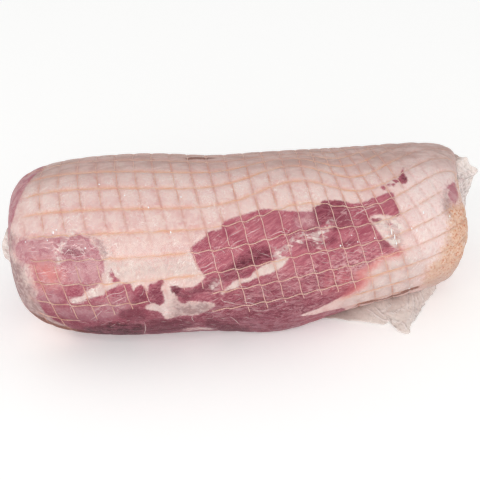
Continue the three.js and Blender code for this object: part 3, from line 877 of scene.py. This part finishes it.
# A drawn crease's half width, and its painted highlight's half width and place beside it.
CREASE_WIDTH = 0.5
CREASE_HIGHLIGHT_WIDTH = 0.8
CREASE_HIGHLIGHT_STEP = (0.8, 1.3)
# The knots that each step of a curve blends between.
SPLINE_SPANS = (((0, 1), (1, 2), (2, 3)), ((0, 2), (1, 3)), ((1, 2),))


def along_curve(points, fractions):
    """Points of a centripetal Catmull-Rom curve through the given ones."""
    points = np.array(points, float)
    points = np.concatenate([[2 * points[0] - points[1]], points, [2 * points[-1] - points[-2]]])
    made = []
    for fraction in fractions:
        place = min(fraction * (len(points) - 3), len(points) - 3 - 1e-9)
        first = int(place)
        p = points[first:first + 4]
        t = [0.0]
        for a, b in zip(p, p[1:]):
            t.append(t[-1] + max(np.linalg.norm(b - a), 1e-6) ** 0.5)
        at = t[1] + (t[2] - t[1]) * (place - first)
        row = p
        for spans in SPLINE_SPANS:
            pairs = zip(row, row[1:], spans)
            row = [a + (b - a) * (at - t[i]) / (t[j] - t[i]) for a, b, (i, j) in pairs]
        made.append(row[0])
    return np.array(made)


def off_lines(places, lines):
    """Millimetres from each place to the nearest of the lines, in a plane."""
    nearest = np.full(len(places), np.inf)
    for line in lines:
        corners = along_curve(line, np.linspace(0, 1, 4 * len(line)))
        for a, b in zip(corners, corners[1:]):
            edge = b - a
            t = np.clip((places - a) @ edge / (edge @ edge), 0, 1)
            nearest = np.minimum(nearest, np.hypot(*(places - a - t[:, None] * edge).T))
    return nearest


def crumple(points, size, seed):
    """Sharp-edged crumples, from 0 to 1."""
    value = np.abs(lumps(points, size, seed)) * 1.6
    value = value + 0.5 * np.abs(lumps(points, size / 2.3, seed + 1)) * 1.6
    return np.clip(value / 1.5, 0, 1)


def make_flap(name, flap, edge, normal, creases, material):
    """A crumpled sheet from its root line to its free edge, as a thin closed shell."""
    root, fold, lift, seed = (flap[key] for key in ("root", "fold", "lift", "seed"))
    across, along = flap["steps"]
    sideways = np.linspace(0, 1, along + 1)
    free = along_curve(edge, sideways)
    free += 1.5 * np.stack([lumps(free, 5, seed + 5), lumps(free, 5, seed + 6), 0 * sideways], -1)
    start = np.array(root[0]) + (np.array(root[1]) - np.array(root[0])) * sideways[:, None]
    out = np.linspace(0, 1, across + 1)[:, None]
    sheet = start * (1 - out[..., None]) + free * out[..., None]
    loose = np.sin(np.pi * np.clip(out * 0.92 + 0.04, 0, 1)) ** 0.5
    rise = lift[0] * (1 - out) + lift[1] * out + fold * loose * (crumple(sheet, 17, seed) - 0.35)
    waves = 5 * sideways + 1.2 * out + 0.6 * lumps(sheet, 22, seed + 3)
    rise = rise + 0.3 * fold * loose * np.sin(2 * np.pi * waves)
    normal = np.array(normal, float)
    middle = sheet + normal * rise[..., None]
    shell = np.stack([middle + normal * FILM_THICKNESS / 2, middle - normal * FILM_THICKNESS / 2])
    shell[..., 2] = np.maximum(shell[..., 2], np.array(FLAP_FLOOR)[:, None, None])
    index = np.arange(shell[..., 0].size).reshape(shell.shape[:-1])
    top, bottom = index.tolist()
    faces = []
    for i in range(across):
        for j in range(along):
            faces.append((top[i][j], top[i + 1][j], top[i + 1][j + 1], top[i][j + 1]))
            faces.append((bottom[i][j], bottom[i][j + 1], bottom[i + 1][j + 1], bottom[i + 1][j]))
    rim = [(i, 0) for i in range(across)] + [(across, j) for j in range(along)]
    rim += [(i, along) for i in range(across, 0, -1)] + [(0, j) for j in range(along, 0, -1)]
    for (i, j), (k, m) in zip(rim, rim[1:] + rim[:1]):
        faces.append((top[i][j], bottom[i][j], bottom[k][m], top[k][m]))
    # Nearness to the roast, by which the film gets a painted shadow of the roast and more haze.
    root_share = 1 - out * smoothstep(sideways, -0.2, 0.6)
    places = shell[..., [0, 1] if normal[2] else [0, 2]].reshape(-1, 2)
    shown = {
        "root": np.tile(root_share.ravel(), 2),
        "crease": bell(off_lines(places, creases) / CREASE_WIDTH),
        "crease_highlight": bell(off_lines(places + CREASE_HIGHLIGHT_STEP, creases) / CREASE_HIGHLIGHT_WIDTH),
    }
    piece = add_mesh(name, shell.reshape(-1, 3), faces, material, shown)
    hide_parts("bagged_roast")


def make_flaps(material):
    edge = [(x, y, 0) for x, y in FRONT_FLAP["edge"]]
    make_flap("film_tail_front", FRONT_FLAP, edge, (0, 0, 1), FRONT_CREASES, material)
    upright = (("film_tail_end", END_FLAP, 1, END_CREASES), ("film_fold_left", LEFT_FOLD, -1, ()))
    for name, flap, side, creases in upright:
        edge = [(x, flap["depth"], z) for x, z in flap["edge"]]
        make_flap(name, flap, edge, (0, side, 0), creases, material)


def srgb(red, green, blue):
    """A shader's linear colour from sRGB levels of 0 to 255."""
    def linear(value):
        value /= 255
        return value / 12.92 if value <= 0.04045 else ((value + 0.055) / 1.055) ** 2.4

    return (linear(red), linear(green), linear(blue), 1.0)


class Nodes:
    """Builds one material's node tree. Colours are sockets or sRGB levels."""

    def __init__(self, name):
        self.material = bpy.data.materials.new(name)
        self.material.use_nodes = True
        self.tree = self.material.node_tree
        self.tree.nodes.clear()
        self.output = self.tree.nodes.new("ShaderNodeOutputMaterial")

    def add(self, kind, inputs=None, **settings):
        node = self.tree.nodes.new(kind)
        for key, value in settings.items():
            setattr(node, key, value)
        for key, value in (inputs or {}).items():
            self.put(node.inputs[key], value)
        return node

    def put(self, socket, value):
        if isinstance(value, bpy.types.NodeSocket):
            self.tree.links.new(value, socket)
        else:
            socket.default_value = value

    def attribute(self, name):
        return self.add("ShaderNodeAttribute", attribute_name=name).outputs["Fac"]

    def place(self, scale=(1, 1, 1), turn=(0, 0, 0)):
        """Millimetres in the frame, turned and then stretched."""
        where = self.add("ShaderNodeTexCoord").outputs["Object"]
        inputs = {"Vector": where, "Rotation": [math.radians(t) for t in turn]}
        turned = self.add("ShaderNodeMapping", inputs, vector_type="TEXTURE").outputs["Vector"]
        inputs = {"Vector": turned, "Scale": [s / MM for s in scale]}
        return self.add("ShaderNodeMapping", inputs).outputs["Vector"]

    def noise(self, vector, size, detail=2.0, distortion=0.0, roughness=0.5):
        inputs = {"Vector": vector, "Scale": 1 / size, "Detail": detail}
        inputs.update({"Distortion": distortion, "Roughness": roughness})
        return self.add("ShaderNodeTexNoise", inputs).outputs["Fac"]

    def math(self, operation, a, b=0.0):
        node = self.add("ShaderNodeMath", operation=operation)
        self.put(node.inputs[0], a)
        self.put(node.inputs[1], b)
        return node.outputs["Value"]

    def product(self, result, *others):
        for other in others:
            result = self.math("MULTIPLY", result, other)
        return result

    def ramp(self, value, low, high, to_low=0.0, to_high=1.0):
        inputs = {"Value": value, "From Min": low, "From Max": high}
        inputs.update({"To Min": to_low, "To Max": to_high})
        node = self.add("ShaderNodeMapRange", inputs, interpolation_type="SMOOTHSTEP")
        return node.outputs["Result"]

    def by(self, name, *ramp):
        """A ramp over one of the mesh's attributes."""
        return self.ramp(self.attribute(name), *ramp)

    def mix(self, share, a, b, blend="MIX"):
        node = self.add("ShaderNodeMix", data_type="RGBA", blend_type=blend)
        self.put(node.inputs["Factor"], share)
        for socket, colour in ((node.inputs[6], a), (node.inputs[7], b)):
            self.put(socket, srgb(*colour) if isinstance(colour, tuple) else colour)
        return node.outputs[2]

    def coats(self, colour, *coats):
        """A colour under coats of (share, colour), with a blend where it isn't the plain one."""
        for share, *coat in coats:
            colour = self.mix(share, colour, *coat)
        return colour

    def veins(self, vector, size, width, distortion=1.5, detail=3.0):
        """Thin branching lines: 1 on a line and 0 off it."""
        value = self.noise(vector, size, detail, distortion)
        off = self.math("ABSOLUTE", self.math("SUBTRACT", value, 0.5))
        return self.ramp(off, 0.0, width, 1.0, 0.0)

    def bump(self, strength, distance, height):
        inputs = {"Strength": strength, "Distance": distance * MM, "Height": height}
        return self.add("ShaderNodeBump", inputs).outputs["Normal"]

    def surface(self, inputs):
        """The material, as a principled shader of these inputs."""
        shader = self.add("ShaderNodeBsdfPrincipled", inputs)
        self.put(self.output.inputs["Surface"], shader.outputs["BSDF"])
        return self.material


def meat_material():
    """Fat and lean as coats of colour, by the mesh's attributes and by noise."""
    n = Nodes("pork")
    plain = n.place()
    ragged = n.math("SUBTRACT", n.noise(plain, 2.0, 4, 0.4, 0.6), 0.5)

    def share(name, roughness, softness, most=1.0):
        """A share from a depth attribute, with a ragged edge."""
        depth = n.math("ADD", n.attribute(name), n.product(ragged, roughness))
        return n.ramp(depth, -softness, softness, 0.0, most)

    def patches(size, low=0.45, high=0.58, least=0.0, most=1.0):
        return n.ramp(n.noise(plain, size, 4, 0.6), low, high, least, most)

    coral_share = share("coral", 12, 6)
    pale_share = share("pale", 14, 5)
    streaky_share = share("streaky", 20, 8)
    silver_share = share("silver", 9, 2.4)
    membrane_share = share("membrane", 26, 6, 0.9)
    dark_share = share("dark", 7, 2.4, 0.66)
    deep_share = share("deep", 12, 4, 0.9)
    ragged_lean = n.math("ADD", n.attribute("lean"), n.product(ragged, 3.2))
    lean_share = n.ramp(n.product(ragged_lean, n.ramp(coral_share, 0, 1, 1, 0.22)), -1, 1)

    cream = n.mix(patches(5, 0.42, 0.6), (203, 184, 177), (220, 204, 195))
    grey = n.mix(n.by("along", 38, 50), (150, 112, 114), (160, 130, 128))
    grey = n.mix(patches(3.5, 0.42, 0.6, 0, 0.55), grey, (214, 190, 182))
    fibres = n.noise(n.place((1, 1, 0.25), (0, 12, 0)), 1.6, 3, 0.4)
    threads = n.veins(n.place((1, 1, 1.8), (0, 35, 0)), 9, 0.016)
    wrinkle_highlights = n.veins(n.place((1, 1, 0.55), (0, 25, 0)), 3.6, 0.03, 1.2, 2)
    streaks_and_shade = n.ramp(n.noise(n.place((0.35, 1, 1)), 6, 4, 0.6), 0.38, 0.62, 0.42, 0.73)
    cords = n.attribute("cords")
    beside_strand = n.product(n.attribute("strand"), cords, n.by("lean", -6, -1, 1, 0.2))
    ring_groove_tint_and_shade = n.product(n.attribute("ring"), cords, patches(7, 0.4, 0.6, 0.1, 0.75))
    fat = n.coats(
        n.mix(patches(26, 0.42, 0.6), (228, 196, 189), (222, 183, 178)),
        (patches(4, 0.42, 0.6, 0, 0.5), (236, 212, 203)),
        (share("cream", 16, 8, 0.7), cream),
        (n.by("blunt", -12, 16, 0, 0.6), (244, 224, 220)),
        (n.ramp(fibres, 0.5, 0.66, 0, 0.4), (220, 176, 170)),
        (n.product(threads, patches(20, most=0.55)), (216, 150, 148)),
        # Lighter in each cell's middle: partly the fat's own colour and partly a painted highlight on
        # the bulge.
        (n.by("cell", 0.45, 1.0, 0, 0.32), (241, 220, 214)),
        # Fine creases of the film over the fat, as painted highlights.
        (n.product(wrinkle_highlights, patches(15, most=0.7)), (248, 236, 230)),
        (share("grey", 12, 4, 0.85), grey),
        (n.product(pale_share, patches(5, 0.42, 0.58, 0.15, 0.85)), (190, 140, 144)),
        (n.product(coral_share, patches(6, 0.4, 0.6, 0.3, 0.7)), (222, 158, 148)),
        (n.product(coral_share, n.ramp(ragged_lean, -10, 1, 0, 0.85)), (212, 116, 116)),
        # Along the top: the fat's own striations and painted shade where it faces away from the lamps.
        (n.product(n.by("top", 2, 34), streaks_and_shade), (172, 136, 127)),
        (n.product(beside_strand, patches(12, 0.35, 0.6, 0.25, 0.75)), (234, 172, 142)),
        # By the rings: partly the fat's redder colour in the grooves and partly painted shade in them.
        (n.product(ring_groove_tint_and_shade, n.by("low", 14, 34, 1, 0.35)), (204, 142, 130)),
    )

    pale = n.mix(patches(7, 0.4, 0.6), (184, 124, 133), (205, 160, 162))
    coral = n.mix(n.by("along", 120, 240), (216, 134, 128), (200, 92, 102))
    fine = n.product(n.ramp(pale_share, 0, 1, 1, 0.4), n.ramp(streaky_share, 0, 1, 0.65, 1))
    along_grain = (0, -19, 20)
    grain = n.noise(n.place((0.14, 1, 1), along_grain), 1.1, 3, 0.3)
    mottle = n.noise(n.place((0.5, 1, 1), along_grain), 3.4, 4, 0.8)
    flecks = n.veins(n.place((0.16, 1, 1), along_grain), 3.2, 0.02, 0.4, 1)
    waves = n.veins(n.place((0.4, 1, 1), (0, 12, 0)), 6.5, 0.045, 2.0)
    wood = n.noise(n.place((0.22, 1, 1), (0, 10, 0)), 1.9, 3, 1.2)
    light_wood = n.product(n.ramp(wood, 0.52, 0.62, 0, 0.5), patches(14, 0.4, 0.58, 0.25, 1))
    folds = n.product(n.veins(n.place((0.35, 1, 1), (0, 8, 0)), 9, 0.075, 1.2, 2), n.by("low", 34, 54))
    wisps = n.veins(n.place((0.35, 1, 1), (0, 55, 0)), 4, 0.03, 0.5)
    seams = n.product(n.veins(n.place((1, 1, 0.8)), 30, 0.012, 1.0, 3), n.by("along", 36, 24))
    darkened = n.math("MAXIMUM", dark_share, deep_share)
    lean = n.coats(
        n.mix(patches(24, 0.4, 0.6), (166, 80, 97), (184, 102, 115)),
        (n.product(pale_share, 0.8), pale),
        (n.product(share("coral", 16, 9, 0.9), patches(6, 0.35, 0.6, 0.55, 0.95)), coral),
        (n.product(n.ramp(grain, 0.5, 0.62, 0, 0.45), fine), (214, 152, 156)),
        (n.product(n.ramp(grain, 0.5, 0.38, 0, 0.42), fine), (136, 54, 74)),
        (n.product(n.ramp(mottle, 0.52, 0.64, 0, 0.36), fine), (208, 150, 154)),
        (n.product(n.ramp(mottle, 0.48, 0.38, 0, 0.25), fine), (134, 58, 76)),
        (n.product(flecks, patches(14, most=0.6)), (228, 188, 188)),
        (n.product(waves, streaky_share, patches(10, 0.42, 0.56, 0.3, 0.85)), (218, 172, 172)),
        (n.product(light_wood, streaky_share), (222, 178, 178)),
        (n.product(n.ramp(wood, 0.48, 0.38, 0, 0.4), streaky_share), (124, 52, 68)),
        (n.product(folds, patches(16, 0.4, 0.58, 0.2, 0.65)), (226, 190, 190)),
        (n.product(wisps, pale_share, patches(8, 0.42, 0.56, 0, 0.55)), (222, 186, 184)),
        (n.product(seams, 0.8), (236, 214, 206)),
        (dark_share, (116, 40, 60)),
        (n.product(deep_share, patches(6, 0.38, 0.55, 0.55, 1)), (80, 14, 32)),
        (n.product(n.ramp(wood, 0.5, 0.62, 0, 0.7), darkened), (182, 108, 120)),
        (n.product(flecks, darkened, patches(9, most=0.9)), (214, 166, 168)),
    )

    silver = n.mix(patches(4), (204, 178, 174), (236, 222, 214))
    sheen = n.ramp(n.noise(n.place((0.35, 1, 1), (0, 14, 0)), 2.4, 4, 0.5), 0.44, 0.54, 0.1, 0.85)
    orange = n.coats(
        n.mix(patches(1.5, 0.5, 0.6), (226, 184, 154), (200, 118, 80)),
        (patches(2.4, 0.52, 0.62, 0, 0.6), (234, 208, 190)),
        (patches(13, 0.45, 0.6, 0, 0.4), (210, 176, 156)),
        (n.by("low", 16, 56, 0, 0.85), (198, 172, 162)),
    )
    # Painted shade under the roast's side, weaker on fat, silverskin, membrane and the right end.
    on_lean = n.product(n.ramp(lean_share, 0, 1, 0.3, 1), n.ramp(silver_share, 0, 1, 1, 0.4))
    shade = n.product(n.by("low", -10, 42, 0, 0.76), on_lean, n.ramp(membrane_share, 0, 1, 1, 0.6))
    colour = n.coats(
        n.mix(lean_share, fat, lean),
        (n.product(silver_share, sheen), silver),
        (membrane_share, orange),
        (share("brown", 5, 1.6, 0.8), (124, 68, 48)),
        # The painted shade, multiplied in.
        (n.product(shade, n.by("along", 212, 246, 1, 0.6)), (165, 122, 146), "MULTIPLY"),
    )
    return n.surface({
        "Base Color": colour,
        "Roughness": n.ramp(lean_share, 0, 1, 0.6, 0.5),
        "Specular IOR Level": 0.12,
        "Normal": n.bump(0.3, 0.5, n.noise(plain, 2.5, 4, 0.6)),
        "Subsurface Weight": 0.2,
        "Subsurface Radius": (1.0, 0.45, 0.35),
        "Subsurface Scale": 0.0015,
    })


def cord_material(name, on_fat, on_lean):
    n = Nodes(name)
    plain = n.place()
    on_fat = n.mix(n.by("cords", 0, 1), (208, 174, 164), on_fat)
    on_lean = n.mix(n.by("along", 96, 150), (212, 160, 140), on_lean)
    colour = n.coats(
        n.mix(n.by("lean", -1.5, 1.5), on_fat, on_lean),
        (n.ramp(n.noise(plain, 9, 3), 0.4, 0.6, 0, 0.5), (242, 206, 186)),
        # Painted shade on the cords under the roast's side, towards the table.
        (n.by("low", 20, 66, 0, 1), (196, 156, 150), "MULTIPLY"),
    )
    fuzz = n.noise(plain, 0.35, 3)
    return n.surface({
        "Base Color": colour,
        "Roughness": n.ramp(fuzz, 0.3, 0.7, 0.55, 0.8),
        "Normal": n.bump(0.4, 0.15, fuzz),
        "Subsurface Weight": 0.3,
        "Subsurface Radius": (1.0, 0.6, 0.4),
        "Subsurface Scale": 0.002,
    })


def film_surface(n, milk, haze, bump, most_gloss):
    """Clear film: mostly transparent, with a faint gloss and a share of milky haze."""
    gloss = n.add("ShaderNodeBsdfGlossy", {"Color": (1, 1, 1, 1), "Roughness": 0.08, "Normal": bump})
    diffuse = n.add("ShaderNodeBsdfDiffuse", {"Color": milk})
    clear = n.add("ShaderNodeBsdfTransparent", {"Color": (0.99, 0.99, 0.99, 1)})
    hazy = n.add("ShaderNodeMixShader", {0: haze, 1: clear.outputs["BSDF"], 2: diffuse.outputs["BSDF"]})
    mirror = n.add("ShaderNodeFresnel", {"IOR": 1.3, "Normal": bump})
    gloss_share = n.math("MINIMUM", mirror.outputs["Fac"], most_gloss)
    whole = {0: gloss_share, 1: hazy.outputs["Shader"], 2: gloss.outputs["BSDF"]}
    n.put(n.output.inputs["Surface"], n.add("ShaderNodeMixShader", whole).outputs["Shader"])
    return n.material


def tight_film_material():
    n = Nodes("film")
    height = n.math("ADD", n.noise(n.place(), 3.0, 4, 1.0), n.noise(n.place((1, 1, 0.3)), 1.5, 2))
    return film_surface(n, srgb(245, 240, 236), 0.004, n.bump(0.35, 0.5, height), 0.014)


def loose_film_material():
    """Crumpled film: painted shade and highlights on folds and creases, and a painted shadow by the
    roast.
    """
    n = Nodes("film_loose")
    plain = n.place()
    folds = n.veins(n.place((0.16, 1, 1), (0, 35, 24)), 5, 0.018, 0.0, 0)
    crossing = n.veins(n.place((0.2, 1, 1), (0, 60, -40)), 6, 0.014, 0.0, 0)
    bent = n.veins(n.place((0.25, 1, 1), (0, 50, -5)), 4, 0.02, 0.0, 1)
    dark = n.math("MAXIMUM", folds, crossing)
    height = n.math("ADD", n.noise(plain, 4.0, 3, 0.5), n.math("MAXIMUM", folds, bent))
    crease = n.product(n.attribute("crease"), n.ramp(n.noise(plain, 2.6, 3), 0.42, 0.56, 0.25, 1))
    crease_highlight = n.attribute("crease_highlight")
    root = n.attribute("root")
    milk = n.coats(
        (248, 236, 228),
        # Painted shade and painted highlights along the folds.
        (n.product(dark, 0.6), (150, 128, 118)),
        (n.product(bent, 0.4), (252, 246, 242)),
        # Each drawn crease: a painted highlight on its bright side and painted shade on the crease.
        (n.product(crease_highlight, 0.8), (255, 250, 248)),
        (n.product(crease, 0.6), (150, 130, 122)),
        # Painted shadow of the roast on the film by its root.
        (n.ramp(root, 0.4, 0.92, 0, 0.8), (152, 114, 102)),
    )
    marked = n.math("MAXIMUM", n.product(n.math("MAXIMUM", dark, bent), 0.15), n.product(crease_highlight, 0.4))
    haze = n.ramp(root, 0.5, 0.9, n.math("ADD", marked, 0.5), 0.9)
    return film_surface(n, milk, haze, n.bump(0.5, 0.5, height), 0.08)


def bright_material(name, colour, alpha, glow=0.0):
    """White marks: sinew, and painted highlights of creased film. The glow is painted reflected
    lamplight.
    """
    colour = srgb(*colour)
    look = {"Base Color": colour, "Roughness": 0.3, "Specular IOR Level": 0.5, "Alpha": alpha}
    return Nodes(name).surface({**look, "Emission Color": colour, "Emission Strength": glow})


FLOOR_SIDE = 12.0  # metres


def make_stage():
    pale = {"Base Color": (0.86, 0.86, 0.85, 1), "Roughness": 0.7}
    pale.update({"Emission Color": (1.0, 1.0, 1.0, 1.0), "Emission Strength": 0.27})
    mesh = bpy.data.meshes.new("floor")
    half = FLOOR_SIDE / 2
    corners = [(-half, -half, 0), (half, -half, 0), (half, half, 0), (-half, half, 0)]
    mesh.from_pydata(corners, [], [(0, 1, 2, 3)])
    mesh.materials.append(Nodes("floor").surface(pale))
    floor = bpy.data.objects.new("floor", mesh)
    bpy.context.scene.collection.objects.link(floor)


# The photograph's camera. Its place and the lamps' are given from what it looks at, with the
# azimuth from the front and the elevation in degrees and the distance in metres.
TARGET = Vector((-11.1, -3.0, 51.6)) * MM
AZIMUTH, ELEVATION, DISTANCE = -12.0, 30.0, 1.2
LENS, SENSOR = 125, 36


def from_target(azimuth, elevation, distance):
    a, e = math.radians(azimuth), math.radians(elevation)
    way = Vector((math.sin(a) * math.cos(e), -math.cos(a) * math.cos(e), math.sin(e)))
    return TARGET + way * distance


def make_camera():
    data = bpy.data.cameras.new("camera")
    data.lens = LENS
    data.sensor_width = SENSOR
    camera = bpy.data.objects.new("camera", data)
    camera.location = from_target(AZIMUTH, ELEVATION, DISTANCE)
    camera.rotation_euler = (TARGET - camera.location).to_track_quat("-Z", "Y").to_euler()
    bpy.context.scene.collection.objects.link(camera)
    bpy.context.scene.camera = camera


def add_light(name, azimuth, elevation, distance, size, power):
    data = bpy.data.lights.new(name, "AREA")
    data.shape = "RECTANGLE"
    data.size, data.size_y = size
    data.energy = power
    lamp = bpy.data.objects.new(name, data)
    lamp.location = from_target(azimuth, elevation, distance)
    lamp.rotation_euler = (TARGET - lamp.location).to_track_quat("-Z", "Y").to_euler()
    bpy.context.scene.collection.objects.link(lamp)


def make_lights():
    add_light("key", -16, 30, 2.2, (2.0, 1.5), 18)
    add_light("sparkle", -40, 42, 2.0, (0.1, 0.1), 1.2)
    world = bpy.data.worlds.new("studio")
    world.use_nodes = True
    background = world.node_tree.nodes["Background"]
    background.inputs["Color"].default_value = (1, 1, 1, 1)
    background.inputs["Strength"].default_value = 0.7
    bpy.context.scene.world = world


bpy.context.scene.view_settings.view_transform = "Standard"
make_stage()
make_camera()
make_lights()
make_meat(meat_material())
make_strands(cord_material("net_strand", (240, 184, 150), (235, 183, 164)))
make_rings(cord_material("net_ring", (226, 166, 146), (230, 180, 171)))
make_film(tight_film_material())
# White lines of sinew and of creased film; the film's are painted highlights with a painted glow.
add_lines("sinew_and_highlight_lines", WHITE_LINES, 0.5, bright_material("sinew", (240, 216, 212), 0.42, 0.3))
# The creased film's white lines: painted highlights with a painted glow.
add_lines("film_crease_highlights", crease_lines(), 0.38, bright_material("crease", (250, 224, 220), 0.3, 0.4))
make_glints(bright_material("glint", (255, 255, 255), 0.9))
make_flaps(loose_film_material())
